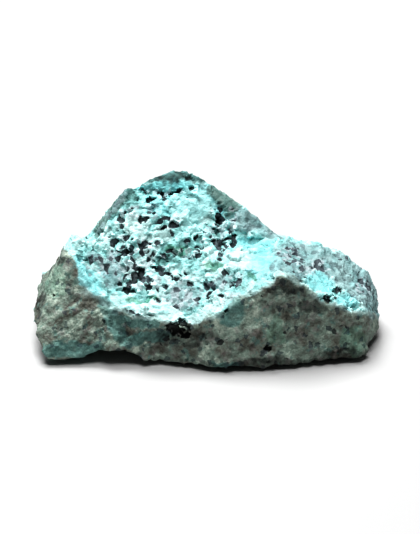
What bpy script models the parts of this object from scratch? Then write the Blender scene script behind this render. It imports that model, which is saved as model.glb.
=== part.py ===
"""Raw turquoise nugget: one solid lump of vein stone, broken out and left rough.

Metres, +Z up. The origin is at the middle of the nugget's box, on the ground. The nugget lies on the
flat patch of its broken underside. +X runs along it, from the thin spur on the left to the blunt
shoulder on the right, and -Y is its tall front.
"""

import bpy
import bmesh
from mathutils import Matrix, Vector, noise

# Driving dimensions: the finished nugget's size over all.
LENGTH = 0.0455
DEPTH = 0.0285
HEIGHT = 0.0190

# Corners where broken faces meet, in percent of LENGTH, DEPTH and HEIGHT, counted from the
# middle of the underside. The peak and its slopes:
PEAK_LEFT = (-23, 14, 91)
PEAK_MIDDLE = (-9, 21, 98)
PEAK_RIGHT = (-2, 17, 98)
SLOPE_LEFT = (-29, 7, 66)
NOTCH = (-33, 0, 57)
BAND_TOP = (4, 16, 89)
BAND_FOOT = (15, 8, 71)
BAND_END = (21, 5, 61)
PEAK_HEEL_LEFT = (-36, 18, 42)
PEAK_BACK_LEFT = (-24, 32, 56)
PEAK_BACK = (-4, 34, 64)
PEAK_BACK_RIGHT = (12, 27, 55)
# The crease where the steep slope under the peak meets the flatter apron in front:
CREASE_LEFT = (-21, -20, 51)
CREASE_MIDDLE = (-5, -9, 61)
CREASE_RIGHT = (6, 2, 70)
# The thin spur at the left end, and its foot:
SPUR_TIP = (-38, -7, 76)
SPUR_RIDGE = (-39, -20, 60)
SPUR_BROW = (-36, -25, 46)
SPUR_BACK = (-48, 4, 24)
SPUR_ROOT = (-32, 24, 36)
LEFT_EDGE_HIGH = (-46, -11, 41)
LEFT_EDGE_LOW = (-50, -21, 22)
LEFT_EDGE_FRONT = (-49, -35, 20)
FOOT_EDGE = (-47, -44, 10)
FOOT_LEFT = (-45.5, -46, 3)
FOOT_RIGHT = (-29, -44, 7)
# The rim, where the bright upper faces break off into the tall grey front:
RIM_LEFT = (-27.5, -31, 39)
RIM_INNER = (-12, -42, 33)
RIM_LOW = (-5, -44, 30)
RIM_RISE = (5.5, -42, 43)
RIM_HIGH = (16, -37.5, 56)
RIM_CREST = (22, -36, 62)
RIM_FALL = (36, -36, 44)
RIM_RIGHT = (41.5, -35.5, 36)
RIM_END = (46, -32, 31)
FRONT_BELLY = (6, -44, 30)
# The blunt shoulder at the right end:
SHOULDER_TOP = (20, -4, 62)
SHOULDER_BACK = (25, 1, 60)
SHOULDER_END = (37, 4, 55)
RIGHT_HIGH = (46.5, -2, 39)
RIGHT_MIDDLE = (49.5, -9, 24)
RIGHT_LOW = (49.5, -18, 13)
# The broken back, from left to right:
BACK_LEFT = (-40, 8, 42)
BACK_LEDGE_LEFT = (-30, 25, 44)
BACK_LEDGE = (-12, 34, 50)
BACK_LEDGE_RIGHT = (5, 30, 62)
BACK_SHOULDER = (20, 23, 46)
BACK_RIGHT = (37, 18, 30)
# The lower edge all round, a little off the ground:
SKIRT_FRONT_LEFT = (-12, -44, 3)
SKIRT_FRONT = (5.5, -52, 3)
SKIRT_FRONT_RIGHT = (23, -48, 3)
SKIRT_RIGHT_FRONT = (45, -42, 4)
SKIRT_RIGHT = (49, -20, 6)
SKIRT_RIGHT_BACK = (45, 12, 6)
SKIRT_BACK_RIGHT = (28, 34, 6)
SKIRT_BACK = (2, 48, 7)
SKIRT_BACK_LEFT = (-26, 42, 7)
SKIRT_LEFT_BACK = (-43, 18, 7)
# How deep the resting face lies before the ground plane cuts it flat:
SUNK = -2.5

# The chunks that the nugget is broken into. Each is the hull of its corners and of its resting
# face, whose corners are given in percent of LENGTH and DEPTH.
CHUNKS = {
    "peak": (
        (PEAK_LEFT, PEAK_MIDDLE, PEAK_RIGHT, SLOPE_LEFT, NOTCH, BAND_TOP, BAND_FOOT, BAND_END,
         CREASE_LEFT, CREASE_MIDDLE, CREASE_RIGHT,
         PEAK_HEEL_LEFT, PEAK_BACK_LEFT, PEAK_BACK, PEAK_BACK_RIGHT),
        ((-20, -18), (10, -20), (20, 14), (0, 22), (-18, 16)),
    ),
    "spur": (
        (SPUR_TIP, SPUR_RIDGE, SPUR_BROW, SPUR_BACK, SPUR_ROOT, RIM_LEFT,
         LEFT_EDGE_HIGH, LEFT_EDGE_LOW, LEFT_EDGE_FRONT, FOOT_EDGE, FOOT_LEFT, FOOT_RIGHT,
         NOTCH, CREASE_LEFT, SKIRT_LEFT_BACK),
        ((-24, -14), (-22, 10), (-12, 8)),
    ),
    "apron_left": (
        (RIM_LEFT, RIM_INNER, CREASE_LEFT, CREASE_MIDDLE, SPUR_BROW, FOOT_RIGHT, SKIRT_FRONT_LEFT),
        ((-22, -18), (-12, -24), (-20, 0), (0, 0)),
    ),
    "apron": (
        (RIM_INNER, RIM_LOW, CREASE_LEFT, CREASE_MIDDLE, CREASE_RIGHT, FRONT_BELLY,
         SKIRT_FRONT_LEFT, SKIRT_FRONT),
        ((-12, -26), (6, -28), (-20, 0), (10, 0)),
    ),
    "shoulder": (
        (RIM_LOW, RIM_RISE, RIM_HIGH, RIM_CREST, RIM_FALL, RIM_RIGHT, RIM_END, CREASE_MIDDLE,
         SHOULDER_TOP, SHOULDER_BACK, SHOULDER_END, RIGHT_HIGH, RIGHT_MIDDLE, RIGHT_LOW,
         BACK_RIGHT, BACK_SHOULDER,
         SKIRT_FRONT, SKIRT_FRONT_RIGHT, SKIRT_RIGHT_FRONT, SKIRT_RIGHT, SKIRT_RIGHT_BACK),
        ((8, -28), (20, -26), (26, -16), (27, 4), (20, 14), (0, 18)),
    ),
    "back": (
        (BACK_LEFT, BACK_LEDGE_LEFT, BACK_LEDGE, BACK_LEDGE_RIGHT, BACK_SHOULDER, BACK_RIGHT,
         SKIRT_LEFT_BACK, SKIRT_BACK_LEFT, SKIRT_BACK, SKIRT_BACK_RIGHT, SKIRT_RIGHT_BACK),
        ((-22, 6), (-18, 20), (2, 24), (20, 16), (26, 2)),
    ),
}

# Hollows struck out of the chunks: centre in the same percentages, and radii in metres.
HOLLOWS = {
    "pit_under_rim": ((-8, -46, 26), (0.0016, 0.0010, 0.0010)),
    "nick_in_rim": ((35, -37, 46), (0.0009, 0.0009, 0.0009)),
    "scoop_over_apron": ((-20, -34, 92), (0.0085, 0.0085, 0.0085)),
    "undercut_by_foot": ((-22, -40, 0), (0.0042, 0.0026, 0.0012)),
    "hollow_under_left": ((-31, 6, -3), (0.0042, 0.0036, 0.0014)),
    "pocket_in_back": ((-14, 47, 34), (0.0045, 0.0024, 0.0026)),
}

# Even faces for the relief, and the number of triangles that is kept of them.
VOXEL = 0.00035
TRIANGLES = 8800

# Relief of the broken surface: the size across of each kind, and its height.
SWELL_SIZE = 0.0090
SWELL_HEIGHT = 0.00040
CHIP_SIZE = 0.0080
CHIP_HEIGHT = 0.00052
CHIP_OCTAVES = 3
CHIP_WARP = 0.35
CHIP_WARP_SPREAD = 1.3
CHIP_TILT_SPREAD = 7.3
# Some stretches of the surface broke cleanly and others broke up into chips.
STRETCH_SIZE = 0.0100
CHIPS_ON_AVERAGE = 0.90
CHIPS_VARY_BY = 1.20
LUMP_SIZE = 0.0018
LUMP_HEIGHT = 0.00018
RELIEF_SEED = 4

STONE_COLOUR = (0.245, 0.420, 0.385, 1.0)
STONE_ROUGHNESS = 0.65


def place(share):
    """A corner's place in metres, from its percentages of the three driving dimensions."""
    return Vector((share[0] * LENGTH, share[1] * DEPTH, share[2] * HEIGHT)) / 100


def add_object(name, mesh, collection):
    """Links a new object that shows the mesh."""
    made = bpy.data.objects.new(name, mesh)
    collection.objects.link(made)
    return made


def add_cutter(name, shape, collection):
    """Links a helper object made from a bmesh, hidden from renders and drawn as wire."""
    mesh = bpy.data.meshes.new(name)
    shape.to_mesh(mesh)
    shape.free()
    made = add_object(name, mesh, collection)
    made.hide_render = True
    made.display_type = "WIRE"
    return made


def chunk(name, corners, resting_face, collection):
    """One convex chunk of stone, the hull of its corners and its sunk resting face."""
    shape = bmesh.new()
    for corner in corners:
        shape.verts.new(place(corner))
    for x, y in resting_face:
        shape.verts.new(place((x, y, SUNK)))
    hull = bmesh.ops.convex_hull(shape, input=shape.verts)
    bmesh.ops.delete(shape, geom=hull["geom_interior"], context="VERTS")
    bmesh.ops.recalc_face_normals(shape, faces=shape.faces)
    return add_cutter(name, shape, collection)


def hollow(name, centre, radii, collection):
    """A ball or egg that is struck out of the stone."""
    shape = bmesh.new()
    bmesh.ops.create_icosphere(shape, subdivisions=3, radius=1.0)
    bmesh.ops.transform(shape, matrix=Matrix.Diagonal((*radii, 1.0)), verts=shape.verts)
    bmesh.ops.translate(shape, vec=place(centre), verts=shape.verts)
    return add_cutter(name, shape, collection)


def ground(collection):
    """A block that fills the space below the ground plane."""
    shape = bmesh.new()
    bmesh.ops.create_cube(shape, size=2 * LENGTH)
    bmesh.ops.translate(shape, vec=(0, 0, -LENGTH), verts=shape.verts)
    return add_cutter("ground", shape, collection)


def boolean(stone, other, operation):
    """Joins another object to the stone, or cuts it out."""
    modifier = stone.modifiers.new(operation.lower() + "_" + other.name, "BOOLEAN")
    modifier.operation = operation
    modifier.solver = "EXACT"
    modifier.object = other


def baked(obj):
    """A plain mesh of the object with its modifiers applied."""
    graph = bpy.context.evaluated_depsgraph_get()
    return bpy.data.meshes.new_from_object(obj.evaluated_get(graph))


def chip(point, size):
    """Height of the chip under a point. Each cell of the broken surface is a plane with its own tilt."""
    warped = point / size + noise.noise_vector(point / size * CHIP_WARP_SPREAD) * CHIP_WARP
    centre = noise.voronoi(warped)[1][0]
    tilt = noise.cell_vector(centre * CHIP_TILT_SPREAD)
    return (warped - centre).dot(tilt) - 0.5 * tilt.z


def relief(point):
    """How far the broken surface stands out from its chunk's own face at this point."""
    height = noise.noise(point / SWELL_SIZE) * SWELL_HEIGHT
    broken_up = CHIPS_ON_AVERAGE + noise.noise(point / STRETCH_SIZE) * CHIPS_VARY_BY
    for octave in range(CHIP_OCTAVES):
        finer = 2.0 ** octave
        height += chip(point, CHIP_SIZE / finer) * broken_up * CHIP_HEIGHT / finer
    nearest = noise.voronoi(point / LUMP_SIZE)[0][0]
    return height + (0.5 - nearest) * LUMP_HEIGHT


def roughen(mesh):
    """Moves each vertex of the evenly meshed stone along its normal by the relief there."""
    shape = bmesh.new()
    shape.from_mesh(mesh)
    for vert in shape.verts:
        vert.co += vert.normal * relief(vert.co)
    shape.to_mesh(mesh)
    shape.free()


def fit_to_size(mesh):
    """Centres the stone on the origin, on the ground, and brings it to its size over all."""
    low = [min(vert.co[axis] for vert in mesh.vertices) for axis in range(3)]
    high = [max(vert.co[axis] for vert in mesh.vertices) for axis in range(3)]
    middle = Vector(((low[0] + high[0]) / 2, (low[1] + high[1]) / 2, low[2]))
    scale = [size / (high[axis] - low[axis]) for axis, size in enumerate((LENGTH, DEPTH, HEIGHT))]
    mesh.transform(Matrix.Diagonal((*scale, 1.0)) @ Matrix.Translation(-middle))


def stone_material():
    """Dull weathered turquoise."""
    material = bpy.data.materials.new("turquoise")
    material.use_nodes = True
    shader = material.node_tree.nodes["Principled BSDF"]
    shader.inputs["Base Color"].default_value = STONE_COLOUR
    shader.inputs["Roughness"].default_value = STONE_ROUGHNESS
    shader.inputs["Metallic"].default_value = 0.0
    material.diffuse_color = STONE_COLOUR
    return material


def rough_lump(cutters):
    """The chunks joined and the hollows struck out, in even faces."""
    chunks = [chunk(name, *shares, cutters) for name, shares in CHUNKS.items()]
    lump = add_object("rough_lump", chunks[0].data.copy(), cutters)
    lump.hide_render = True
    lump.display_type = "WIRE"
    for other in chunks[1:]:
        boolean(lump, other, "UNION")
    for name, (centre, radii) in HOLLOWS.items():
        boolean(lump, hollow(name, centre, radii, cutters), "DIFFERENCE")
    even_faces = lump.modifiers.new("even_faces", "REMESH")
    even_faces.mode = "VOXEL"
    even_faces.voxel_size = VOXEL
    return baked(lump)


def nugget(parts, cutters):
    """The finished stone: roughened, thinned to few faces, cut flat below and brought to size."""
    mesh = rough_lump(cutters)
    roughen(mesh)
    stone = add_object("nugget", mesh, parts)
    fewer_faces = stone.modifiers.new("fewer_faces", "DECIMATE")
    fewer_faces.ratio = TRIANGLES / (2 * len(mesh.polygons))
    boolean(stone, ground(cutters), "DIFFERENCE")
    stone.data = baked(stone)
    stone.modifiers.clear()
    fit_to_size(stone.data)
    stone.data.materials.clear()
    stone.data.materials.append(stone_material())


def main():
    for obj in list(bpy.data.objects):
        bpy.data.objects.remove(obj, do_unlink=True)
    noise.seed_set(RELIEF_SEED)
    parts = bpy.data.collections.new("raw_turquoise_nugget")
    cutters = bpy.data.collections.new("cutters")
    bpy.context.scene.collection.children.link(parts)
    bpy.context.scene.collection.children.link(cutters)
    nugget(parts, cutters)


main()
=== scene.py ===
"""The looks of a raw turquoise nugget: its granular broken skin, its colours, and a small studio.

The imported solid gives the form. This script copies it, remeshes the copy finely, marks where each
kind of stone lies, roughens the skin with a Geometry Nodes tree and gives it one procedural finish.
Everything is in metres, in the frame's own axes, unless a value says millimetres.
"""

import logging
import math
from dataclasses import dataclass, field
from enum import Enum

import bmesh
import bpy
import numpy as np
from mathutils import Matrix, Vector, noise
from mathutils.bvhtree import BVHTree


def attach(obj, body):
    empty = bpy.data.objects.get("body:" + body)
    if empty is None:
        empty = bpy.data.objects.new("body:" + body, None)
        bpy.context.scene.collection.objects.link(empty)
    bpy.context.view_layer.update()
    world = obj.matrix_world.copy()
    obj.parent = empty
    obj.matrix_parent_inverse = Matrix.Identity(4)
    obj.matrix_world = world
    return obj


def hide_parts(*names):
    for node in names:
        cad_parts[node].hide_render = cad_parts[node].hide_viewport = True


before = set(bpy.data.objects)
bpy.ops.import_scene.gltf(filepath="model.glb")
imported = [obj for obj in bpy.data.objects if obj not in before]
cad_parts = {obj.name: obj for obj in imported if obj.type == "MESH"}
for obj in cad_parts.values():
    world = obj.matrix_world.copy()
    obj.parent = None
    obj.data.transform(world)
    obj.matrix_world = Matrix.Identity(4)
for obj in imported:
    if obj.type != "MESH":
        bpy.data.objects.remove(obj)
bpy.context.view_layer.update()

log = logging.getLogger("nugget")

Socket = bpy.types.NodeSocket
Feed = Socket | float | tuple
Colour = tuple[float, float, float, float]
Span = tuple[float, float]  # where a change starts, and where it is complete

MM = 0.001
NODE = "nugget"
REST = "rest"  # the attribute that keeps each point's place on the smooth stone
RELIEF = "relief"  # the attribute that says how far a point stands out or lies in
NOISE_SEED = 7

RED = (1.0, 0.0, 0.0)
GREEN = (0.0, 1.0, 0.0)
BLUE = (0.0, 0.0, 1.0)
MIDDLE = (0.5, 0.5, 0.5)
NOISE_SPAN: Span = (0.25, 0.75)  # what most of a soft noise lies within


def paint(red: int, green: int, blue: int) -> Colour:
    """Turn a display colour into the linear colour that shaders work in, by the sRGB curve.

    Args:
        red: Red, from 0 to 255.
        green: Green, from 0 to 255.
        blue: Blue, from 0 to 255.

    Returns:
        The linear colour with full alpha.
    """
    parts = [part / 255.0 for part in (red, green, blue)]
    linear = [part / 12.92 if part <= 0.04045 else ((part + 0.055) / 1.055) ** 2.4 for part in parts]
    return (linear[0], linear[1], linear[2], 1.0)


TEAL = paint(82, 126, 122)
MOSS = paint(78, 142, 118)
CHALK = paint(184, 218, 216)
SPECK = paint(20, 22, 28)
SPECK_GREY = paint(82, 92, 98)


def smooth_step(values: np.ndarray, span: Span) -> np.ndarray:
    """Ease values from 0 to 1 over a span.

    Args:
        values: The values to ease.
        span: Where the result is 0 and where it is 1; the second may lie below the first.

    Returns:
        The eased values.
    """
    low, high = span
    part = np.clip((values - low) / (high - low), 0.0, 1.0)
    return part * part * (3.0 - 2.0 * part)


def read_vectors(collection: bpy.types.bpy_prop_collection, name: str) -> np.ndarray:
    """Read one vector per element of a mesh.

    Args:
        collection: The mesh's vertices.
        name: The vector's name.

    Returns:
        The vectors, one per row.
    """
    flat = np.empty(len(collection) * 3)
    collection.foreach_get(name, flat)
    return flat.reshape(-1, 3)


class Zone(Enum):
    """A kind of stone or mark; each is a number from 0 to 1 kept at every point of the skin."""

    RIND = "rind"  # the grey-brown weathered skin
    CHALK = "chalk"  # paler turquoise; at the upper centre partly painted light
    TEAL = "teal"  # deeper blue-green; on the crest top, painted shade
    MOSS = "moss"  # green
    CYAN = "cyan"  # brighter blue; at the upper centre partly painted light
    DULL = "dull"  # dull grey-green; on the peak's right flank partly painted shade
    SPECKS = "specks"  # crowded dark specks
    PITS = "pits"  # crowded specks that lie deep
    STREAKS = "streaks"  # splinters that lean up to the right
    DARK = "dark"  # painted shade along the bottom, by the foot and on the crest top, and a few dark smudges
    PALE = "pale"  # the palest stone; at the upper centre partly painted light
    EDGE = "edge"  # a pale broken strip along the rim: pale crust and painted highlight
    CALM = "calm"  # smoother stone with few specks
    GREYED = "greyed"  # greyed, smoother turquoise
    BLADES = "blades"  # splinters that lean down to the right
    BEHIND = "behind"  # what faces away from the show side


@dataclass(frozen=True)
class Patch:
    """A soft-edged oval of one zone, laid out on the nugget's show side in millimetres."""

    across: float
    up: float
    half_width: float
    half_height: float


@dataclass(frozen=True)
class Band:
    """A winding stripe of one zone on the show side, in millimetres."""

    half_width: float
    path: tuple[tuple[float, float], ...]

    def patches(self) -> list[Patch]:
        """Lay round patches along the stripe.

        Returns:
            Patches spaced at the stripe's half width.
        """
        laid: list[Patch] = []
        for (x0, y0), (x1, y1) in zip(self.path, self.path[1:]):
            steps = max(1, math.ceil(math.hypot(x1 - x0, y1 - y0) / self.half_width))
            for step in range(steps + 1):
                part = step / steps
                laid.append(Patch(x0 + (x1 - x0) * part, y0 + (y1 - y0) * part,
                                  self.half_width, self.half_width))
        return laid


@dataclass(frozen=True)
class ZonePlan:
    """Where one zone shows: its ovals, each given as a patch's four numbers, and its bands."""

    zone: Zone
    ovals: tuple[tuple[float, float, float, float], ...] = ()
    bands: tuple[Band, ...] = ()

    def patches(self) -> list[Patch]:
        """List the ovals as patches, and then the patches along the bands.

        Returns:
            The patches.
        """
        laid = [Patch(*oval) for oval in self.ovals]
        for band in self.bands:
            laid.extend(band.patches())
        return laid


@dataclass(frozen=True)
class ShowSide:
    """The side that the nugget is shown from, and the flat layout seen from there."""

    elevation: float = math.radians(30.0)
    distance: float = 0.5
    aim: Vector = field(default_factory=lambda: Vector((0.00044, -0.001, 0.0085)))

    def towards(self) -> Vector:
        """Return the unit vector from the nugget to the viewer."""
        return Vector((0.0, -math.cos(self.elevation), math.sin(self.elevation)))

    def upright(self) -> Vector:
        """Return the unit vector that points up in the layout."""
        return Vector((0.0, math.sin(self.elevation), math.cos(self.elevation)))

    def eye(self) -> Vector:
        """Return the place of the viewer's eye."""
        return self.aim + self.towards() * self.distance

    def lay_out(self, points: np.ndarray) -> tuple[np.ndarray, np.ndarray, np.ndarray]:
        """See points from the eye.

        Args:
            points: Places in metres, one per row.

        Returns:
            How far each point lies across and up in the layout, and towards the viewer, in metres.
        """
        from_aim = points - np.array(self.aim)
        towards = from_aim @ np.array(self.towards())
        nearer = self.distance / (self.distance - towards)
        across = from_aim[:, 0] * nearer + self.aim.x
        level = self.aim.dot(self.upright())
        up = (from_aim @ np.array(self.upright())) * nearer + level
        return across, up, towards

    def place(self, across: float, up: float) -> Vector:
        """Return the point, on the plane through the aim, that lies so far across and up in metres."""
        level = self.aim.dot(self.upright())
        return self.aim + Vector((across - self.aim.x, 0.0, 0.0)) + self.upright() * (up - level)


@dataclass(frozen=True)
class StoneMap:
    """Where each kind of stone shows on the nugget, in millimetres on its show side."""

    rim: tuple[tuple[float, float], ...] = (  # in front, the rind lies below this line
        (-30.0, 11.0), (-19.6, 11.0), (-17.9, 8.0), (-16.6, 4.4), (-14.4, 3.0), (-12.5, 2.4),
        (-10.0, 0.8), (-5.3, -0.1), (-2.2, -0.8), (0.9, 0.3), (2.5, 1.6), (6.8, 4.0), (8.4, 5.7),
        (10.2, 6.3), (11.9, 5.4), (13.5, 3.9), (16.6, 2.5), (18.8, 1.4), (23.0, 0.5), (30.0, 0.0),
    )
    plans: tuple[ZonePlan, ...] = (
        # The chalk ovals at the upper centre, near across -2 and up 12.6 to 15.6, are partly paler stone
        # and partly painted light that brightens that face.
        ZonePlan(Zone.CHALK, ovals=(
            (-17.9, 10.5, 1.1, 1.3), (-18.2, 8.8, 0.7, 1.9), (-1.8, 14.4, 3.0, 2.0),
            (-9.4, 12.3, 1.9, 1.3), (-13.5, 10.1, 1.4, 1.3), (-10.0, 6.9, 1.7, 1.3),
            (4.7, 7.5, 1.9, 1.1), (9.7, 5.5, 1.6, 0.4), (-0.4, 15.6, 2.6, 2.2), (-0.6, 12.6, 2.0, 1.4),
            (-7.6, 9.8, 1.7, 1.1), (-6.0, 11.2, 1.2, 0.8),
        ), bands=(
            Band(0.9, ((-12.0, 2.3), (-8.9, 1.7), (-6.0, 1.2), (-4.4, 0.7))),
            Band(0.9, ((-2.2, -0.1), (0.9, 1.2), (3.0, 2.6))),
            Band(0.4, ((9.1, 10.4), (9.3, 8.2), (9.8, 6.4))),
        )),
        # The teal ovals along the crest top, near up 17.5 to 18.8, are painted shade; the others are deeper
        # blue-green stone.
        ZonePlan(Zone.TEAL, ovals=(
            (-10.4, 16.4, 1.6, 1.2), (-11.0, 15.0, 0.8, 1.4), (0.8, 11.6, 0.9, 1.1),
            (-1.8, 9.8, 1.3, 0.8), (-5.3, 7.9, 1.8, 0.5), (-4.6, 18.8, 4.4, 0.7),
            (-17.6, -4.2, 4.2, 1.1), (2.5, -5.8, 1.9, 0.5), (3.4, 1.0, 1.9, 1.6),
            (-8.6, -2.5, 3.6, 0.8), (-5.6, 17.5, 3.2, 0.8),
        ), bands=(
            Band(1.0, ((-13.4, 2.2), (-12.8, 0.4), (-12.2, -1.4), (-11.0, -2.8))),
            Band(0.6, ((-12.0, -0.2), (-9.4, -0.4), (-7.2, -0.8))),
        )),
        ZonePlan(Zone.MOSS, ovals=(
            (-3.8, 9.0, 1.6, 0.7), (0.9, 7.2, 1.3, 0.6), (-8.5, 2.5, 2.2, 0.4), (-7.4, 2.7, 1.0, 0.5),
            (-20.1, 4.7, 1.7, 2.2), (9.1, -1.5, 1.3, 1.9), (19.4, -3.1, 1.9, 1.9), (6.3, 5.6, 0.4, 0.3),
        )),
        # The cyan ovals at the upper centre, near across -3.5 to 1.6 and up 14.4 to 16.3, are partly
        # brighter stone and partly painted light that brightens that face.
        ZonePlan(Zone.CYAN, ovals=(
            (0.0, 16.3, 1.3, 1.9), (-3.5, 15.8, 4.6, 2.4), (7.8, 8.8, 1.6, 1.9), (5.0, 10.1, 1.9, 0.6),
            (15.0, 5.0, 2.2, 1.3), (-16.8, 7.2, 0.9, 1.3), (-15.9, 5.5, 1.1, 1.4),
            (-14.9, 4.0, 0.9, 1.0), (-13.2, 6.1, 1.0, 0.5), (-6.6, 17.6, 2.5, 0.6),
            (1.6, 14.4, 0.8, 0.6), (18.6, 2.4, 1.2, 1.0), (7.5, 6.9, 2.5, 1.9),
        )),
        ZonePlan(Zone.DULL, bands=(
            # The band on the peak's right flank is grey-green stone with painted shade over it.
            Band(0.9, ((1.0, 17.4), (2.2, 16.0), (3.4, 14.9))),
            Band(0.5, ((5.2, 13.9), (7.0, 13.0), (8.8, 12.2))),
            Band(0.55, ((-11.4, 16.2), (-12.4, 14.7), (-13.4, 13.2), (-14.9, 11.2))),
        )),
        ZonePlan(Zone.SPECKS, ovals=(
            (-8.5, 6.3, 3.4, 2.5), (-10.4, 9.6, 3.0, 2.0), (-8.4, 14.2, 2.2, 1.2),
            (-5.0, 12.6, 2.0, 1.3), (-5.4, 16.9, 3.0, 0.8), (2.4, 13.2, 1.4, 1.6),
            (2.2, 10.7, 2.2, 1.9), (-2.2, 9.1, 1.9, 1.3), (-3.8, 2.5, 2.5, 1.6), (0.9, 4.7, 1.9, 0.8),
            (3.1, 2.5, 1.7, 1.3), (11.2, 8.2, 1.8, 1.3), (13.2, 6.2, 1.4, 1.0), (20.8, 4.4, 1.0, 1.4),
            (-14.4, 6.9, 1.9, 1.6), (-10.3, 8.8, 1.9, 1.9), (-4.8, 5.4, 2.2, 1.1),
            (14.6, 7.2, 1.2, 0.8), (-11.2, 13.4, 1.0, 1.0), (-10.1, 0.7, 1.5, 0.6),
            (-11.6, -0.6, 0.7, 0.5), (-5.4, -3.2, 1.0, 0.5), (7.9, 3.2, 0.6, 0.5),
            (2.2, -3.2, 0.9, 0.7), (0.1, -2.9, 0.6, 0.4), (4.9, -1.5, 0.6, 0.5), (17.5, -2.2, 1.6, 1.2),
        ), bands=(
            Band(0.8, ((-7.0, 2.6), (-4.0, 2.0), (-1.5, 3.4), (1.5, 4.6), (4.6, 5.4))),
            Band(0.7, ((2.8, 13.2), (0.0, 11.6), (-2.2, 9.1), (-6.6, 7.9), (-9.4, 6.0))),
        )),
        ZonePlan(Zone.PITS, ovals=(
            (-4.0, -1.5, 1.8, 1.5), (16.3, 3.1, 0.45, 0.9), (2.0, 13.2, 0.5, 0.5),
            (-4.4, 12.4, 0.7, 0.8), (-10.7, 3.8, 0.9, 0.4), (-5.6, 17.0, 0.4, 0.4),
            (-3.8, 16.9, 0.7, 0.4), (-7.2, 15.9, 0.7, 0.4), (8.1, -3.9, 0.45, 0.5),
            (2.2, 1.1, 0.4, 0.4), (2.8, 9.9, 0.4, 0.5), (-20.6, 3.4, 0.3, 0.3), (-8.9, 5.9, 0.5, 0.35),
            (-7.2, 6.8, 0.45, 0.3), (-7.7, 4.3, 0.6, 0.35),
        )),
        ZonePlan(Zone.STREAKS, ovals=(
            (-16.8, -0.5, 4.2, 3.2), (-9.5, -3.0, 4.0, 1.6),
        )),
        ZonePlan(Zone.BLADES, ovals=(
            (-14.2, 6.0, 2.8, 3.2), (2.2, 10.6, 1.6, 1.6),
        )),
        # Painted shade: the long low ovals along the bottom, those by the hollow beside the foot and the
        # one on the crest top. The two small ovals at the left end are dark smudges, and the rest darken
        # parts of the front below the rim.
        ZonePlan(Zone.DARK, ovals=(
            (10.4, 4.2, 2.8, 1.5), (13.8, 1.6, 2.2, 1.2), (-3.0, -2.5, 4.0, 1.0),
            (10.0, -6.2, 12.0, 0.9), (-4.6, 18.9, 5.0, 0.9), (18.4, -5.2, 3.6, 1.3),
            (-11.0, -4.6, 4.0, 1.0), (-19.5, 7.3, 0.8, 0.6), (-22.0, 2.2, 0.8, 1.1),
        )),
        ZonePlan(Zone.CALM, ovals=(
            (6.5, 7.2, 2.6, 1.9), (-1.5, 14.2, 2.4, 1.6), (-15.0, 5.4, 2.4, 2.2), (15.0, 5.0, 1.8, 1.3),
            (0.5, 16.0, 1.2, 1.6), (7.0, 4.9, 2.4, 0.7), (-4.0, 18.8, 6.0, 1.3),
            (-18.2, 11.2, 1.8, 1.0),
        ), bands=(
            Band(1.0, ((-12.2, 2.6), (-8.9, 1.8), (-6.0, 1.3), (-4.4, 0.7))),
            Band(0.9, ((-2.0, -0.1), (0.9, 1.1), (3.0, 2.6), (7.0, 4.8))),
            Band(0.8, ((-18.0, 10.6), (-17.9, 8.5), (-17.0, 5.5))),
            Band(1.4, ((2.4, 16.8), (4.2, 15.0), (6.4, 13.2), (9.0, 11.6))),
        )),
        ZonePlan(Zone.GREYED, ovals=(
            (12.5, 8.6, 4.2, 2.0), (11.0, 7.8, 1.6, 2.0), (16.5, 7.6, 3.4, 2.0), (20.0, 5.0, 3.6, 3.0),
            (-12.4, 7.6, 1.3, 1.5), (22.3, 1.6, 2.8, 2.4), (11.0, 6.6, 2.6, 1.6),
            (-12.6, 5.8, 1.4, 1.8), (-3.2, 3.2, 2.2, 1.6), (1.6, 5.2, 1.8, 0.9),
        ), bands=(
            Band(0.7, ((-14.8, 8.6), (-13.8, 6.8), (-12.9, 4.6))),
            Band(1.3, ((4.6, 13.2), (6.6, 12.4), (9.2, 11.2))),
            Band(1.0, ((-11.4, 16.9), (-13.6, 14.4), (-15.4, 11.8))),
        )),
        # The pale ovals at the upper centre, near across -4.2 to -1.2 and up 12.2 to 15.0, are partly paler
        # stone and partly painted light that brightens that face.
        ZonePlan(Zone.PALE, ovals=(
            (6.4, 0.8, 3.2, 2.0), (3.4, -1.0, 2.6, 2.0), (-18.0, -1.4, 2.2, 1.4),
            (-20.5, 3.5, 1.8, 3.4), (-1.5, 15.0, 2.6, 2.0), (-18.2, 9.6, 0.9, 2.0),
            (-4.2, 14.6, 1.2, 1.2), (-1.2, 12.2, 1.4, 1.0), (-9.8, 2.0, 2.2, 0.6),
            (-6.2, 1.4, 1.8, 0.5),
        )),
    )

    def patches(self, zone: Zone) -> list[Patch]:
        """List the patches of one zone."""
        return [patch for plan in self.plans if plan.zone is zone for patch in plan.patches()]


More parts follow.
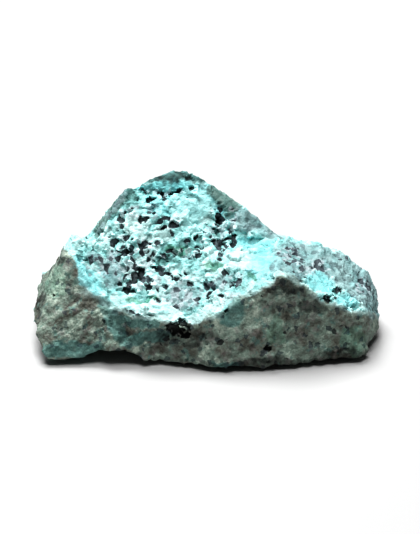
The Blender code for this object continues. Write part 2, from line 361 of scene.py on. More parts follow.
@dataclass
class ZonePainter:
    """Works out the zones at every point of the skin and keeps them as attributes."""

    show: ShowSide
    stones: StoneMap
    wobble_size: float = 2.2 * MM
    wobble_reach: float = 0.9 * MM
    fray_size: float = 0.7 * MM
    fray_reach: float = 0.35 * MM
    blotch_size: float = 8.0 * MM
    ragged_size: float = 1.0 * MM
    ragged_reach: float = 0.30
    layers: int = 4
    layer_step: float = 2.0
    layer_loss: float = 1.0
    depth_per_width: float = 1.5
    least_depth: float = 1.0 * MM
    patch_fade: Span = (1.25, 0.75)
    zone_fade: Span = (0.2, 0.8)
    rim_fade: float = 0.18 * MM
    edge_drop: float = 0.25 * MM
    edge_width: float = 0.55 * MM
    edge_core: float = 0.3
    edge_gaps: Span = (-0.25, 0.25)
    shown_fade: Span = (-0.30, -0.10)
    shown_unevenness: float = 0.12
    rind_behind: float = 0.25
    rind_unevenness: float = 0.9
    rind_fade: Span = (-0.1, 0.1)

    def wobbled(self, points: np.ndarray) -> np.ndarray:
        """Shift points by noise, so that zones get uneven edges.

        Args:
            points: Places in metres, one per row.

        Returns:
            The shifted places.
        """
        shifted = np.empty_like(points)
        for index, point in enumerate(points):
            place = Vector(point)
            broad = noise.noise_vector(place / self.wobble_size) * self.wobble_reach
            fine = noise.noise_vector(place / self.fray_size) * self.fray_reach
            shifted[index] = place + broad + fine
        return shifted

    def blotches(self, points: np.ndarray, size: float) -> np.ndarray:
        """Give each point a soft random number, about -1 to 1, that changes over a size in metres."""
        kind = (self.layer_loss, self.layer_step, self.layers)
        return np.array([noise.fractal(Vector(point) / size, *kind) for point in points])

    def patch_strength(self, patch: Patch, seen: tuple[np.ndarray, np.ndarray, np.ndarray],
                       tree: BVHTree) -> np.ndarray:
        """Work out how strongly one patch shows at every point.

        Args:
            patch: The patch.
            seen: How far the points lie across, up and towards the viewer.
            tree: The stone's surface, to find where the patch lands.

        Returns:
            Strengths from 0 to 1.
        """
        across, up, towards = seen
        eye = self.show.eye()
        target = self.show.place(patch.across * MM, patch.up * MM)
        landed = tree.ray_cast(eye, (target - eye).normalized())[0]
        if landed is None:
            landed = tree.find_nearest(target)[0]
        depth = self.show.lay_out(np.array([landed]))[2][0]
        reach = max(patch.half_width, patch.half_height) * MM * self.depth_per_width + self.least_depth
        distance = np.sqrt(
            ((across - patch.across * MM) / (patch.half_width * MM)) ** 2
            + ((up - patch.up * MM) / (patch.half_height * MM)) ** 2
            + ((towards - depth) / reach) ** 2
        )
        return smooth_step(distance, self.patch_fade)

    def rind(self, points: np.ndarray, normals: np.ndarray,
             seen: tuple[np.ndarray, np.ndarray, np.ndarray]) -> dict[Zone, np.ndarray]:
        """Find the weathered rind: below the rim in front, and in broad blotches behind.

        Args:
            points: Places in metres, one per row.
            normals: Their outward directions.
            seen: How far the shifted points lie across, up and towards the viewer.

        Returns:
            The strengths, from 0 to 1, of the rind, of the pale broken strip along the rim (pale
            crust and painted highlight), and of the sides that face away from the show side.
        """
        across, up, _ = seen
        rim = np.array(self.stones.rim) * MM
        below = np.interp(across, rim[:, 0], rim[:, 1]) - up
        front = smooth_step(below, (-self.rim_fade, self.rim_fade))
        facing = normals @ np.array(self.show.towards())
        blotch = self.blotches(points, self.blotch_size)
        behind = smooth_step(self.rind_behind - normals[:, 2] + self.rind_unevenness * blotch,
                             self.rind_fade)
        shown = smooth_step(facing + self.shown_unevenness * blotch, self.shown_fade)
        # The pale strip just below the rim: pale crust and painted highlight.
        edge = smooth_step(np.abs(below - self.edge_drop),
                           (self.edge_width, self.edge_core * self.edge_width))
        return {
            Zone.RIND: shown * front + (1.0 - shown) * behind,
            Zone.EDGE: shown * edge * smooth_step(blotch, self.edge_gaps),
            Zone.BEHIND: 1.0 - shown,
        }

    def dress(self, mesh: bpy.types.Mesh) -> None:
        """Write every zone to the mesh.

        Args:
            mesh: The fine mesh of the stone, before its skin is roughened.
        """
        count = len(mesh.vertices)
        points = read_vectors(mesh.vertices, "co")
        normals = read_vectors(mesh.vertices, "normal")
        faces = [tuple(polygon.vertices) for polygon in mesh.polygons]
        tree = BVHTree.FromPolygons([Vector(point) for point in points], faces)
        seen = self.show.lay_out(self.wobbled(points))
        found = self.rind(points, normals, seen)
        ragged = self.blotches(points, self.ragged_size) * self.ragged_reach
        for zone in Zone:
            strength = np.zeros(count)
            for patch in self.stones.patches(zone):
                strength = np.maximum(strength, self.patch_strength(patch, seen, tree))
            frayed = smooth_step(strength + ragged * (strength > 0.0), self.zone_fade)
            strength = found.get(zone, frayed)
            layer = mesh.attributes.new(zone.value, "FLOAT", "POINT")
            layer.data.foreach_set("value", strength.astype(np.float32))
            log.info("zone %s covers %.0f %% of the points", zone.value, 100.0 * strength.mean())


@dataclass(frozen=True)
class ReliefGauge:
    """Measures how far each point of the roughened skin stands above its surroundings."""

    rounds: int = 10
    full_height: float = 0.12 * MM

    def smoothed(self, points: np.ndarray, edges: np.ndarray) -> np.ndarray:
        """Average every point with its neighbours again and again.

        Args:
            points: Places in metres, one per row.
            edges: Pairs of joined points.

        Returns:
            The averaged places.
        """
        count = len(points)
        first, second = edges[:, 0], edges[:, 1]
        neighbours = np.bincount(first, minlength=count) + np.bincount(second, minlength=count)
        for _ in range(self.rounds):
            total = np.empty_like(points)
            for axis in range(3):
                total[:, axis] = (np.bincount(first, points[second, axis], count)
                                  + np.bincount(second, points[first, axis], count))
            points = (points + total) / (neighbours + 1.0)[:, None]
        return points

    def measure(self, mesh: bpy.types.Mesh) -> None:
        """Write the relief to the mesh, from -1 deep in a hollow to 1 on a high spot.

        Args:
            mesh: The roughened mesh.
        """
        points = read_vectors(mesh.vertices, "co")
        normals = read_vectors(mesh.vertices, "normal")
        edges = np.empty(len(mesh.edges) * 2, dtype=np.int32)
        mesh.edges.foreach_get("vertices", edges)
        smooth = self.smoothed(points, edges.reshape(-1, 2))
        height = np.einsum("ij,ij->i", points - smooth, normals) / self.full_height
        layer = mesh.attributes.new(RELIEF, "FLOAT", "POINT")
        layer.data.foreach_set("value", np.clip(height, -1.0, 1.0).astype(np.float32))


@dataclass(frozen=True)
class Cloud:
    """A soft noise: its size in metres, its number of finer layers, and how strong they are."""

    size: float
    layers: float = 2.0
    strength: float = 0.5


class NodeNet:
    """Short ways to add and join nodes, in a geometry tree and in a material alike."""

    def __init__(self, tree: bpy.types.NodeTree) -> None:
        """Take hold of a tree."""
        self.tree = tree
        self.in_material = tree.bl_idname == "ShaderNodeTree"

    def feed(self, socket: Socket, source: Feed) -> None:
        """Join a socket to another, or set its value.

        Args:
            socket: The socket that is fed.
            source: The other socket, or the value.
        """
        if isinstance(source, bpy.types.NodeSocket):
            self.tree.links.new(source, socket)
        else:
            socket.default_value = source

    def node(self, kind: str, feeds: dict[str | int, Feed], **settings: object) -> bpy.types.Node:
        """Add a node.

        Args:
            kind: The node's type.
            feeds: What goes into its sockets, by name or number.
            **settings: Its own settings.

        Returns:
            The node.
        """
        made = self.tree.nodes.new(kind)
        for name, value in settings.items():
            setattr(made, name, value)
        for key, source in feeds.items():
            self.feed(made.inputs[key], source)
        return made

    def math(self, operation: str, *feeds: Feed) -> Socket:
        """Add a Math node and return its result."""
        return self.node("ShaderNodeMath", dict(enumerate(feeds)), operation=operation).outputs[0]

    def times(self, first: Feed, second: Feed) -> Socket:
        """Multiply two numbers and return the result."""
        return self.math("MULTIPLY", first, second)

    def total(self, base: Feed, *shares: tuple[Feed, Feed]) -> Feed:
        """Add values to a base.

        Args:
            base: What the sum starts from.
            *shares: Each value with what it is multiplied by.

        Returns:
            The sum.
        """
        for value, share in shares:
            base = self.math("MULTIPLY_ADD", value, share, base)
        return base

    def vector(self, operation: str, *feeds: Feed) -> Socket:
        """Add a Vector Math node and return its vector."""
        return self.node("ShaderNodeVectorMath", dict(enumerate(feeds)), operation=operation).outputs[0]

    def dot(self, first: Feed, second: Feed) -> Socket:
        """Measure one vector along another, or pick a colour's channel, and return the number."""
        feeds = {0: first, 1: second}
        return self.node("ShaderNodeVectorMath", feeds, operation="DOT_PRODUCT").outputs[1]

    def scaled(self, vector: Feed, factor: Feed) -> Socket:
        """Multiply a vector by a number and return the result."""
        made = self.node("ShaderNodeVectorMath", {0: vector, "Scale": factor}, operation="SCALE")
        return made.outputs[0]

    def ease(self, value: Feed, span: Span) -> Socket:
        """Ease a value from 0 to 1 over a span and return the result."""
        feeds = {"Value": value, "From Min": span[0], "From Max": span[1]}
        return self.node("ShaderNodeMapRange", feeds, interpolation_type="SMOOTHSTEP").outputs[0]

    def spread(self, value: Feed, span: Span = NOISE_SPAN) -> Socket:
        """Stretch a value evenly from 0 to 1 over a span and return the result."""
        feeds = {"Value": value, "From Min": span[0], "From Max": span[1]}
        return self.node("ShaderNodeMapRange", feeds, clamp=True).outputs[0]

    def named(self, name: str, vector: bool = False) -> Socket:
        """Read an attribute of the mesh.

        Args:
            name: The attribute's name.
            vector: True for a vector, False for a number.

        Returns:
            The attribute's value.
        """
        if self.in_material:
            made = self.node("ShaderNodeAttribute", {}, attribute_name=name)
            return made.outputs["Vector" if vector else "Fac"]
        kind = "FLOAT_VECTOR" if vector else "FLOAT"
        return self.node("GeometryNodeInputNamedAttribute", {"Name": name}, data_type=kind).outputs[0]

    def noise(self, place: Feed, cloud: Cloud, scale: Feed | None = None) -> bpy.types.Node:
        """Add soft noise.

        Args:
            place: Where it is read.
            cloud: Its kind.
            scale: One over its size, where a socket gives the size instead of the kind.

        Returns:
            The node.
        """
        feeds = {"Vector": place, "Scale": 1.0 / cloud.size if scale is None else scale,
                 "Detail": cloud.layers, "Roughness": cloud.strength}
        return self.node("ShaderNodeTexNoise", feeds)

    def cells(self, place: Feed, size: float) -> bpy.types.Node:
        """Add random cells of a size in metres, as in packed grains, and return the node."""
        return self.node("ShaderNodeTexVoronoi", {"Vector": place, "Scale": 1.0 / size})

    def mix(self, factor: Feed, first: Feed, second: Feed) -> Socket:
        """Blend two colours and return the result."""
        feeds = {0: factor, 6: first, 7: second}  # 6, 7 and output 2 are the node's colour sockets
        return self.node("ShaderNodeMix", feeds, data_type="RGBA", clamp_factor=True).outputs[2]

    def ramp(self, value: Feed, stops: tuple[tuple[float, Colour], ...]) -> Socket:
        """Turn a value into a colour.

        Args:
            value: A number from 0 to 1.
            stops: Places and colours in order.

        Returns:
            The colour.
        """
        made = self.node("ShaderNodeValToRGB", {"Fac": value})
        marks = made.color_ramp.elements
        while len(marks) < len(stops):
            marks.new(1.0)
        for mark, (place, colour) in zip(marks, stops):
            mark.position = place
            mark.color = colour
        return made.outputs[0]


@dataclass(frozen=True)
class GrainLine:
    """A direction in which the stone split, and how long and wide its splinters are."""

    lean: float
    length: float
    width: float
    splinter: Cloud = Cloud(1.0, 3.0, 0.6)  # its size counts splinters, not metres
    span: Span = (0.3, 0.7)
    level: float = 0.5

    def axes(self) -> tuple[tuple[float, ...], ...]:
        """Work out how the splinters lie, as seen from the show side.

        Returns:
            The unit vectors along, across and through them.
        """
        show = ShowSide()
        right, up, towards = Vector((1.0, 0.0, 0.0)), show.upright(), show.towards()
        along = right * math.cos(self.lean) + up * math.sin(self.lean)
        return tuple(along), tuple(towards.cross(along)), tuple(towards)

    def relief(self, net: NodeNet, place: Feed) -> Socket:
        """Draw noise out along the line.

        Args:
            net: The tree's nodes.
            place: Where it is read.

        Returns:
            From -0.5 in a groove to 0.5 on a ridge.
        """
        sizes = (self.length, self.width, self.length)
        parts = [net.math("DIVIDE", net.dot(place, axis), size) for axis, size in zip(self.axes(), sizes)]
        turned = net.node("ShaderNodeCombineXYZ", dict(enumerate(parts))).outputs[0]
        drawn = net.spread(net.noise(turned, self.splinter).outputs[0], self.span)
        return net.math("SUBTRACT", drawn, self.level)


@dataclass(frozen=True)
class GrainSockets:
    """What the grain pattern gives at a point."""

    tone: Socket
    crumb_tone: Socket
    height: Socket
    speck: Socket
    speck_tone: Socket
    streak: Socket


@dataclass(frozen=True)
class GrainKind:
    """One size of angular grain."""

    size: float
    tilt: float
    bulge: float
    step: float
    random_mix: tuple[float, float, float] = (0.9, -0.7, 1.1)
    mean_fall: float = 0.2

    def top(self, net: NodeNet, place: Feed, cell: bpy.types.Node) -> Socket:
        """Give each grain a slightly bulging top, tilted and raised or sunk at random.

        Args:
            net: The tree's nodes.
            place: The bent place.
            cell: The grain's cell.

        Returns:
            The height in metres.
        """
        lean = net.vector("SUBTRACT", cell.outputs["Color"], MIDDLE)
        offset = net.vector("SUBTRACT", place, cell.outputs["Position"])
        slope = net.times(net.dot(offset, lean), self.tilt)
        raised = net.total(slope, (net.dot(lean, self.random_mix), self.step * self.size))
        fall = net.math("SUBTRACT", self.mean_fall, net.math("POWER", cell.outputs["Distance"], 2.0))
        return net.total(raised, (fall, self.bulge * self.size))


@dataclass(frozen=True)
class GrainPattern:
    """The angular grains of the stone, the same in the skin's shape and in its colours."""

    chip: GrainKind = GrainKind(size=3.2 * MM, tilt=0.24, bulge=0.03, step=0.03)
    grain: GrainKind = GrainKind(size=1.35 * MM, tilt=0.45, bulge=0.08, step=0.10)
    crumb: GrainKind = GrainKind(size=0.60 * MM, tilt=0.42, bulge=0.12, step=0.10)
    speck_size: float = 0.74 * MM
    cluster: Cloud = Cloud(1.5 * MM, 1.0)
    bend: Cloud = Cloud(0.95 * MM, 3.0, 0.6)
    bend_reach: float = 0.36 * MM
    clustering: float = 0.30
    streak_line: GrainLine = GrainLine(math.radians(40.0), length=2.0 * MM, width=0.6 * MM)
    blade_line: GrainLine = GrainLine(math.radians(-52.0), length=2.4 * MM, width=0.55 * MM)
    rare: float = 0.25
    dense: float = 0.48
    shrink: float = 0.22
    speck_fade: Span = (-0.02, 0.02)
    calm_crowding: float = -0.9
    rind_crowding: float = -0.55
    pit_crowding: float = 3.0

    def wire(self, net: NodeNet, rest: Feed) -> GrainSockets:
        """Build the pattern.

        Args:
            net: The tree's nodes.
            rest: The point's place on the smooth stone.

        Returns:
            The pattern's values.
        """
        crowding = self.crowding(net)
        bend = net.noise(rest, self.bend).outputs["Color"]
        shift = net.scaled(net.vector("SUBTRACT", bend, MIDDLE), 2.0 * self.bend_reach)
        place = net.vector("ADD", rest, shift)
        grain = net.cells(place, self.grain.size)
        crumb = net.cells(place, self.crumb.size)
        fleck = net.cells(place, self.speck_size)
        height = self.grain.top(net, place, grain)
        for kind, cell in ((self.crumb, crumb), (self.chip, net.cells(place, self.chip.size))):
            height = net.math("ADD", height, kind.top(net, place, cell))
        cluster = net.spread(net.noise(fleck.outputs["Position"], self.cluster).outputs[0])
        lucky = net.dot(fleck.outputs["Color"], GREEN)
        draw = net.math("ADD", net.times(cluster, self.clustering), net.times(lucky, 1.0 - self.clustering))
        draw = net.total(draw, (fleck.outputs["Distance"], self.shrink))
        limit = net.total(self.rare, (crowding, self.dense - self.rare))
        return GrainSockets(
            tone=net.dot(grain.outputs["Color"], RED),
            crumb_tone=net.dot(crumb.outputs["Color"], BLUE),
            height=height,
            speck=net.ease(net.math("SUBTRACT", limit, draw), self.speck_fade),
            speck_tone=net.dot(fleck.outputs["Color"], RED),
            streak=self.streak(net, rest),
        )

    def streak(self, net: NodeNet, rest: Feed) -> Feed:
        """Draw the splinters in their zones: -0.5 in a groove, 0.5 on a ridge, and 0 elsewhere."""
        lines = ((Zone.STREAKS, self.streak_line), (Zone.BLADES, self.blade_line))
        return net.total(0.0, *((line.relief(net, rest), net.named(zone.value)) for zone, line in lines))

    def crowding(self, net: NodeNet) -> Feed:
        """Say how many specks there are at a point: as its zones say, and few in rind and calm stone.

        Args:
            net: The tree's nodes.

        Returns:
            From about -1 for hardly any to 1 and more for very many.
        """
        shares = ((Zone.CALM, self.calm_crowding), (Zone.RIND, self.rind_crowding),
                  (Zone.PITS, self.pit_crowding))
        weighed = ((net.named(zone.value), share) for zone, share in shares)
        return net.total(net.named(Zone.SPECKS.value), *weighed)


@dataclass(frozen=True)
class RoughSkin:
    """A Geometry Nodes tree that breaks the smooth stone's surface into grains, specks and pits."""

    pattern: GrainPattern
    speck_depth: float = 0.24 * MM
    pit_depth: float = 0.40 * MM
    splinter_height: float = 0.20 * MM
    grit: Cloud = Cloud(1.1 * MM, 4.0, 0.6)
    grit_height: float = 0.14 * MM
    grit_gain: float = 4.0
    grit_level: float = 0.5
    swell: Cloud = Cloud(5.0 * MM, 1.0)
    swell_gain: float = 1.2
    least_rough: float = 0.45
    rind_keeps: float = 0.30
    calm_keeps: float = 0.35
    greyed_keeps: float = 0.34
    lowest: tuple[float, float, float] = (-1.0, -1.0, 0.0)

    def tree(self) -> bpy.types.NodeTree:
        """Build the tree.

        Returns:
            The tree, with named inputs for its sizes and its finish.
        """
        tree = bpy.data.node_groups.new("rough skin", "GeometryNodeTree")
        face = tree.interface
        face.new_socket("Stone", in_out="INPUT", socket_type="NodeSocketGeometry")
        for name, size in (("Speck depth", self.speck_depth), ("Pit depth", self.pit_depth),
                           ("Splinter height", self.splinter_height),
                           ("Grit height", self.grit_height), ("Grit size", self.grit.size)):
            socket = face.new_socket(name, in_out="INPUT", socket_type="NodeSocketFloat")
            socket.default_value = size
        face.new_socket("Finish", in_out="INPUT", socket_type="NodeSocketMaterial")
        face.new_socket("Skin", in_out="OUTPUT", socket_type="NodeSocketGeometry")
        net = NodeNet(tree)
        given = net.node("NodeGroupInput", {}).outputs
        here = net.node("GeometryNodeInputPosition", {}).outputs[0]
        kept = net.node("GeometryNodeStoreNamedAttribute",
                        {"Geometry": given["Stone"], "Name": REST, "Value": here},
                        data_type="FLOAT_VECTOR", domain="POINT").outputs[0]
        height = self.height(net, net.named(REST, vector=True), given)
        normal = net.node("GeometryNodeInputNormal", {}).outputs[0]
        raised = net.node("GeometryNodeSetPosition",
                          {"Geometry": kept, "Offset": net.scaled(normal, height)}).outputs[0]
        moved = net.node("GeometryNodeInputPosition", {}).outputs[0]
        above = net.vector("MAXIMUM", moved, self.lowest)
        grounded = net.node("GeometryNodeSetPosition", {"Geometry": raised, "Position": above}).outputs[0]
        real = net.node("GeometryNodeRealizeInstances", {"Geometry": grounded}).outputs[0]
        dressed = net.node("GeometryNodeSetMaterial",
                           {"Geometry": real, "Material": given["Finish"]}).outputs[0]
        net.node("NodeGroupOutput", {"Skin": dressed})
        return tree

    def height(self, net: NodeNet, rest: Feed, given: bpy.types.NodeOutputs) -> Socket:
        """Work out how far each point moves out along its normal.

        Args:
            net: The tree's nodes.
            rest: The point's place on the smooth stone.
            given: The tree's inputs.

        Returns:
            The height in metres.
        """
        grains = self.pattern.wire(net, rest)
        rough = net.total(self.least_rough, (net.noise(rest, self.swell).outputs[0], self.swell_gain))
        for zone, keeps in ((Zone.RIND, self.rind_keeps), (Zone.CALM, self.calm_keeps),
                            (Zone.GREYED, self.greyed_keeps)):
            rough = net.times(rough, net.total(1.0, (net.named(zone.value), keeps - 1.0)))
        sunk = net.times(grains.speck, given["Speck depth"])
        body = net.times(net.math("SUBTRACT", grains.height, sunk), rough)
        body = net.total(body, (grains.streak, given["Splinter height"]))
        grit = net.noise(rest, self.grit, net.math("DIVIDE", 1.0, given["Grit size"])).outputs[0]
        gritty = net.times(net.math("SUBTRACT", grit, self.grit_level),
                           net.times(self.grit_gain, given["Grit height"]))
        pit = net.times(net.times(net.named(Zone.PITS.value), grains.speck), given["Pit depth"])
        return net.math("SUBTRACT", net.math("ADD", body, gritty), pit)


@dataclass(frozen=True)
class Wash:
    """A colour that is laid over others, and how much of them it covers at most."""

    colour: Colour
    cover: float

    def over(self, net: NodeNet, base: Feed, where: Feed) -> Socket:
        """Lay the colour over a base, more or less strongly by place, and return the result."""
        return net.mix(net.times(where, self.cover), base, self.colour)


@dataclass(frozen=True)
class TurquoiseColour:
    """The colours of the broken turquoise and of its dark specks."""

    tones: tuple[tuple[float, Colour], ...] = (
        (0.08, paint(38, 76, 76)), (0.26, TEAL), (0.45, paint(130, 184, 182)),
        (0.62, paint(156, 210, 208)), (0.82, CHALK),
    )
    broad: Cloud = Cloud(2.6 * MM, 4.0, 0.6)
    drift: Cloud = Cloud(5.0 * MM, 3.0, 0.55)
    base_tone: float = 0.21
    broad_share: float = 0.58
    grain_share: float = 0.20
    crumb_share: float = 0.16
    chalk_share: float = 0.28
    teal_share: float = -0.34
    streak_share: float = 0.5
    deeper_share: float = -0.26
    deeper_span: Span = (0.35, 0.60)
    greener_span: Span = (0.48, 0.62)
    cyan: Wash = Wash(paint(128, 206, 210), 0.55)
    greener: Wash = Wash(MOSS, 0.55)
    bright: Wash = Wash(paint(184, 238, 237), 0.75)
    moss: Wash = Wash(MOSS, 0.7)
    dull: Wash = Wash(paint(82, 106, 98), 0.8)
    greyed: Wash = Wash(paint(124, 150, 152), 0.68)
    sooty: Wash = Wash(SPECK_GREY, 0.5)
    sooty_crumbs: Span = (0.32, 0.20)
    mauve: Wash = Wash(paint(180, 186, 192), 0.5)
    mauve_crumbs: Span = (0.55, 0.65)
    speck_cover: float = 0.95
    speck_contrast: float = 1.3
    greyed_speck_share: float = 0.35

    def wire(self, net: NodeNet, rest: Feed, zones: dict[Zone, Socket], grains: GrainSockets) -> Socket:
        """Colour the broken turquoise.

        Args:
            net: The material's nodes.
            rest: The point's place on the smooth stone.
            zones: Every zone's strength.
            grains: The grain pattern.

        Returns:
            The colour.
        """
        broad = net.spread(net.noise(rest, self.broad).outputs[0])
        drift = net.noise(rest, self.drift).outputs["Color"]
        deeper = net.times(zones[Zone.BEHIND], net.spread(net.dot(drift, RED), self.deeper_span))
        greener = net.times(zones[Zone.BEHIND], net.ease(net.dot(drift, GREEN), self.greener_span))
        tone = net.total(
            self.base_tone, (broad, self.broad_share), (grains.tone, self.grain_share),
            (grains.crumb_tone, self.crumb_share), (zones[Zone.CHALK], self.chalk_share),
            (zones[Zone.TEAL], self.teal_share), (grains.streak, self.streak_share),
            (deeper, self.deeper_share))
        sooty = net.times(net.ease(grains.crumb_tone, self.sooty_crumbs), zones[Zone.GREYED])
        mauve = net.times(net.ease(grains.crumb_tone, self.mauve_crumbs), zones[Zone.SPECKS])
        base = net.ramp(tone, self.tones)
        for wash, where in ((self.cyan, zones[Zone.CYAN]), (self.greener, greener),
                            (self.bright, zones[Zone.PALE]), (self.moss, zones[Zone.MOSS]),
                            (self.dull, zones[Zone.DULL]), (self.greyed, zones[Zone.GREYED]),
                            (self.sooty, sooty), (self.mauve, mauve)):
            base = wash.over(net, base, where)
        paleness = net.total(net.math("POWER", grains.speck_tone, self.speck_contrast),
                             (zones[Zone.GREYED], self.greyed_speck_share))
        speck = net.mix(paleness, SPECK, SPECK_GREY)
        return net.mix(net.times(grains.speck, self.speck_cover), base, speck)


@dataclass(frozen=True)
class RindColour:
    """The colours of the weathered rind."""

    tones: tuple[tuple[float, Colour], ...] = (
        (0.12, paint(60, 64, 58)), (0.34, paint(100, 102, 93)), (0.5, paint(121, 131, 122)),
        (0.66, paint(132, 150, 139)), (0.92, paint(181, 194, 181)),
    )
    broad: Cloud = Cloud(2.0 * MM, 5.0, 0.7)
    drift: Cloud = Cloud(4.2 * MM, 2.0, 0.5)
    stain: Cloud = Cloud(1.1 * MM, 3.0, 0.6)
    drift_span: Span = (0.38, 0.62)
    base_tone: float = 0.02
    broad_share: float = 0.68
    crumb_share: float = 0.14
    drift_share: float = 0.18
    fleck_share: float = 0.14
    streak_share: float = 0.38
    pale_share: float = 0.20
    fleck_crumbs: Span = (0.80, 0.95)
    fleck_broad: Span = (0.42, 0.60)
    mauve: Wash = Wash(paint(120, 112, 113), 0.45)
    mauve_span: Span = (0.52, 0.66)
    vein: Wash = Wash(TEAL, 0.5)
    vein_span: Span = (0.56, 0.66)
    teal: Wash = Wash(TEAL, 0.7)
    moss: Wash = Wash(MOSS, 0.25)
    blue: Wash = Wash(paint(44, 62, 70), 0.6)
    blue_crumbs: Span = (0.11, 0.05)
    speck: Wash = Wash(SPECK, 0.8)

    def wire(self, net: NodeNet, rest: Feed, zones: dict[Zone, Socket], grains: GrainSockets) -> Socket:
        """Colour the weathered rind.

        Args:
            net: The material's nodes.
            rest: The point's place on the smooth stone.
            zones: Every zone's strength.
            grains: The grain pattern.

        Returns:
            The colour.
        """
        broad = net.noise(rest, self.broad).outputs[0]
        drift = net.spread(net.noise(rest, self.drift).outputs[0], self.drift_span)
        stain = net.noise(rest, self.stain).outputs["Color"]
        fleck = net.times(net.ease(grains.crumb_tone, self.fleck_crumbs), net.ease(broad, self.fleck_broad))
        tone = net.total(
            self.base_tone, (net.spread(broad), self.broad_share), (grains.crumb_tone, self.crumb_share),
            (drift, self.drift_share), (fleck, self.fleck_share), (grains.streak, self.streak_share),
            (zones[Zone.PALE], self.pale_share))
        base = net.ramp(tone, self.tones)
        for wash, where in ((self.mauve, net.ease(net.dot(stain, RED), self.mauve_span)),
                            (self.vein, net.ease(net.dot(stain, BLUE), self.vein_span)),
                            (self.teal, zones[Zone.TEAL]), (self.moss, zones[Zone.MOSS]),
                            (self.blue, net.ease(grains.crumb_tone, self.blue_crumbs)),
                            (self.speck, grains.speck)):
            base = wash.over(net, base, where)
        return base


@dataclass(frozen=True)
class StoneFinish:
    """The nugget's one finish: turquoise, its specks, the rind, the fine grit over all of them, and painted
    shade and highlight.
    """

    pattern: GrainPattern
    turquoise: TurquoiseColour = TurquoiseColour()
    rind: RindColour = RindColour()
    # the colour of the pale strip along the rim: pale crust and painted highlight
    edge: Colour = CHALK
    rim_crust_and_highlight_cover: float = 0.6
    # painted shade in the relief's hollows and painted highlight on its high spots
    relief_painted_shade_and_highlight: float = 0.30
    # how much the painted shade and the few dark smudges darken the stone
    shade_and_smudge_darkening: float = -0.6
    least_shade: float = 0.08
    dust: Cloud = Cloud(0.30 * MM, 4.0, 0.65)
    dust_height: float = 0.14 * MM
    dust_shade: float = 0.36
    least_dust_shade: float = 0.82
    grit_size: float = 0.34 * MM
    grit_share: float = -0.5
    roughness: Span = (0.45, 0.85)
    specular: float = 0.35

    def material(self) -> bpy.types.Material:
        """Build the material.

        Returns:
            The material, to be set by the skin's tree.
        """
        made = bpy.data.materials.new("raw turquoise")
        made.use_nodes = True
        made.node_tree.nodes.clear()
        net = NodeNet(made.node_tree)
        rest = net.named(REST, vector=True)
        zones = {zone: net.named(zone.value) for zone in Zone}
        grains = self.pattern.wire(net, rest)
        colour = net.mix(zones[Zone.RIND], self.turquoise.wire(net, rest, zones, grains),
                         self.rind.wire(net, rest, zones, grains))
        # Pale crust and painted highlight along the rim, broken up by noise and kept out of the pits.
        crisp = net.times(zones[Zone.EDGE], net.math("SUBTRACT", self.rim_crust_and_highlight_cover, zones[Zone.PITS]))
        colour = net.mix(crisp, colour, self.edge)
        # Painted shade and highlight: the relief darkens hollows and lightens high spots, and the zone of
        # painted shade and smudges darkens the stone further.
        shade = net.total(1.0, (net.named(RELIEF), self.relief_painted_shade_and_highlight), (zones[Zone.DARK], self.shade_and_smudge_darkening))
        colour = net.scaled(colour, net.math("MAXIMUM", shade, self.least_shade))
        dust = net.noise(rest, self.dust).outputs[0]
        colour = net.scaled(colour, net.total(self.least_dust_shade, (net.spread(dust), self.dust_shade)))
        dull, duller = self.roughness
        rough = net.node("ShaderNodeMapRange", {"Value": dust, "To Min": dull, "To Max": duller}).outputs[0]
        grit = net.cells(rest, self.grit_size).outputs["Distance"]
        bump = net.node("ShaderNodeBump", {"Height": net.total(dust, (grit, self.grit_share)),
                                           "Distance": self.dust_height, "Strength": 1.0})
        shader = net.node("ShaderNodeBsdfPrincipled",
                          {"Base Color": colour, "Roughness": rough, "Normal": bump.outputs[0],
                           "Specular IOR Level": self.specular})
        net.node("ShaderNodeOutputMaterial", {"Surface": shader.outputs[0]})
        return made


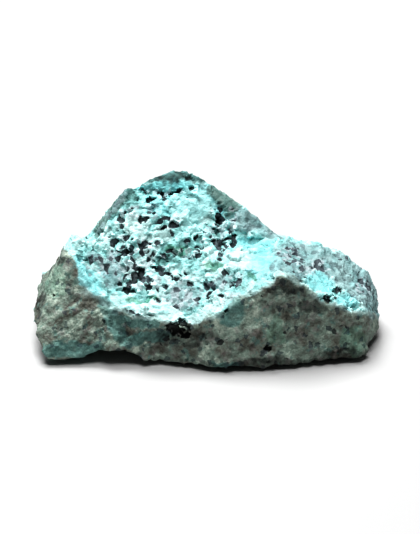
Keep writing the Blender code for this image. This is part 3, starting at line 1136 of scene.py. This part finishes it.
@dataclass
class Nugget:
    """The nugget itself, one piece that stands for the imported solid."""

    painter: ZonePainter
    skin: RoughSkin
    finish: StoneFinish
    gauge: ReliefGauge = ReliefGauge()
    hollow_centre: tuple[float, float, float] = (-12.2 * MM, -12.6 * MM, 0.0)
    hollow_radii: tuple[float, float, float] = (4.4 * MM, 6.6 * MM, 2.3 * MM)
    hollow_fineness: int = 4
    voxel: float = 0.21 * MM
    weld: float = 0.001 * MM
    melt_rounds: int = 4
    crease_angle: float = math.radians(42.0)

    def welded_copy(self) -> bpy.types.Object:
        """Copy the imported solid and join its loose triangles.

        Returns:
            The copy.
        """
        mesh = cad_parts[NODE].data.copy()
        shape = bmesh.new()
        shape.from_mesh(mesh)
        bmesh.ops.remove_doubles(shape, verts=shape.verts, dist=self.weld)
        shape.to_mesh(mesh)
        shape.free()
        mesh.materials.clear()
        copy = bpy.data.objects.new("turquoise_nugget", mesh)
        bpy.context.scene.collection.objects.link(copy)
        return copy

    def strike_hollow(self, piece: bpy.types.Object) -> None:
        """Strike the dark hollow beside the foot out of a piece, with an egg.

        Args:
            piece: The piece.
        """
        shape = bmesh.new()
        bmesh.ops.create_icosphere(shape, subdivisions=self.hollow_fineness, radius=1.0)
        bmesh.ops.transform(shape, matrix=Matrix.Diagonal((*self.hollow_radii, 1.0)), verts=shape.verts)
        bmesh.ops.translate(shape, vec=self.hollow_centre, verts=shape.verts)
        mesh = bpy.data.meshes.new("hollow by the foot")
        shape.to_mesh(mesh)
        shape.free()
        egg = bpy.data.objects.new("hollow by the foot", mesh)
        bpy.context.scene.collection.objects.link(egg)
        cut = piece.modifiers.new("hollow by the foot", "BOOLEAN")
        cut.object = egg
        self.settle(piece)
        bpy.data.objects.remove(egg)

    def settle(self, piece: bpy.types.Object) -> None:
        """Make a piece's modifiers part of its mesh.

        Args:
            piece: The piece.
        """
        seen = piece.evaluated_get(bpy.context.evaluated_depsgraph_get())
        mesh = bpy.data.meshes.new_from_object(seen)
        piece.modifiers.clear()
        piece.data = mesh

    def drop_bubbles(self, mesh: bpy.types.Mesh) -> None:
        """Delete whatever doesn't hang together with a mesh's highest point, such as a sealed bubble.

        Args:
            mesh: The mesh.
        """
        shape = bmesh.new()
        shape.from_mesh(mesh)
        front = {max(shape.verts, key=lambda vert: vert.co.z)}
        shell = set(front)
        while front:
            front = {edge.other_vert(vert) for vert in front for edge in vert.link_edges} - shell
            shell |= front
        loose = [vert for vert in shape.verts if vert not in shell]
        bmesh.ops.delete(shape, geom=loose, context="VERTS")
        shape.to_mesh(mesh)
        shape.free()

    def build(self) -> bpy.types.Object:
        """Returns:
            The piece.
        """
        piece = self.welded_copy()
        self.strike_hollow(piece)
        fine = piece.modifiers.new("even mesh", "REMESH")
        fine.mode = "VOXEL"
        fine.voxel_size = self.voxel
        melt = piece.modifiers.new("melt facets", "SMOOTH")
        melt.iterations = self.melt_rounds
        self.settle(piece)
        self.drop_bubbles(piece.data)
        self.painter.dress(piece.data)
        rough = piece.modifiers.new("rough skin", "NODES")
        rough.node_group = self.skin.tree()
        for item in rough.node_group.interface.items_tree:
            if item.name == "Finish":
                rough[item.identifier] = self.finish.material()
        self.settle(piece)
        self.gauge.measure(piece.data)
        piece.data.shade_smooth()
        piece.data.set_sharp_from_angle(angle=self.crease_angle)
        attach(piece, "root")
        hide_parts(NODE)
        return piece


@dataclass(frozen=True)
class Lamp:
    """A soft square lamp: its name, where it hangs, its watts, and its side in metres."""

    name: str
    place: tuple[float, float, float]
    power: float
    side: float

    def hang(self) -> None:
        """Hang the lamp so that it shines at the nugget."""
        light = bpy.data.lights.new(self.name, "AREA")
        light.energy = self.power
        light.size = self.side
        lamp = bpy.data.objects.new(self.name, light)
        lamp.location = self.place
        lamp.rotation_mode = "QUATERNION"
        lamp.rotation_quaternion = (-Vector(self.place)).to_track_quat("-Z", "Y")
        bpy.context.scene.collection.objects.link(lamp)


@dataclass
class Studio:
    """A pale floor, soft light from above, and the camera."""

    show: ShowSide
    lamps: tuple[Lamp, ...] = (
        Lamp("overhead softbox", (-0.08, 0.19, 0.44), power=2.0, side=0.22),
        Lamp("front fill", (0.0, -0.09, 0.50), power=1.25, side=0.20),
    )
    air_colour: Colour = (1.0, 1.0, 1.0, 1.0)
    air_glow: float = 0.07
    floor_side: float = 6.0
    floor_colour: Colour = paint(186, 186, 186)
    floor_roughness: float = 0.6
    picture_height: float = 70.5 * MM
    sensor: float = 36.0
    nearest: float = 0.01
    view_transform: str = "Standard"
    look: str = "High Contrast"
    exposure: float = 0.2

    def floor(self) -> None:
        """Lay the pale floor."""
        bpy.ops.mesh.primitive_plane_add(size=self.floor_side)
        floor = bpy.context.object
        floor.name = "floor"
        material = bpy.data.materials.new("pale floor")
        material.use_nodes = True
        shader = material.node_tree.nodes["Principled BSDF"]
        shader.inputs["Base Color"].default_value = self.floor_colour
        shader.inputs["Roughness"].default_value = self.floor_roughness
        floor.data.materials.append(material)

    def air(self) -> None:
        """Light the air faintly and evenly."""
        world = bpy.data.worlds.new("studio air")
        world.use_nodes = True
        glow = world.node_tree.nodes["Background"]
        glow.inputs["Color"].default_value = self.air_colour
        glow.inputs["Strength"].default_value = self.air_glow
        bpy.context.scene.world = world

    def camera(self) -> None:
        """Set up the camera and how its picture is developed."""
        data = bpy.data.cameras.new("camera")
        data.sensor_width = self.sensor
        data.lens = self.sensor * self.show.distance / self.picture_height
        data.clip_start = self.nearest
        camera = bpy.data.objects.new("camera", data)
        camera.location = self.show.eye()
        camera.rotation_mode = "QUATERNION"
        camera.rotation_quaternion = (-self.show.towards()).to_track_quat("-Z", "Y")
        scene = bpy.context.scene
        scene.collection.objects.link(camera)
        scene.camera = camera
        scene.view_settings.view_transform = self.view_transform
        scene.view_settings.look = self.look
        scene.view_settings.exposure = self.exposure

    def build(self) -> None:
        """Build the studio."""
        self.floor()
        for lamp in self.lamps:
            lamp.hang()
        self.air()
        self.camera()


def main() -> None:
    """Build everything in order and report it."""
    logging.basicConfig(level=logging.INFO, format="%(name)s: %(message)s")
    noise.seed_set(NOISE_SEED)
    show = ShowSide()
    pattern = GrainPattern()
    nugget = Nugget(ZonePainter(show, StoneMap()), RoughSkin(pattern), StoneFinish(pattern))
    piece = nugget.build()
    log.info("%s has %d faces", piece.name, len(piece.data.polygons))
    studio = Studio(show)
    studio.build()
    log.info("studio has %d lamps and a floor", len(studio.lamps))


if __name__ == "__main__":
    main()
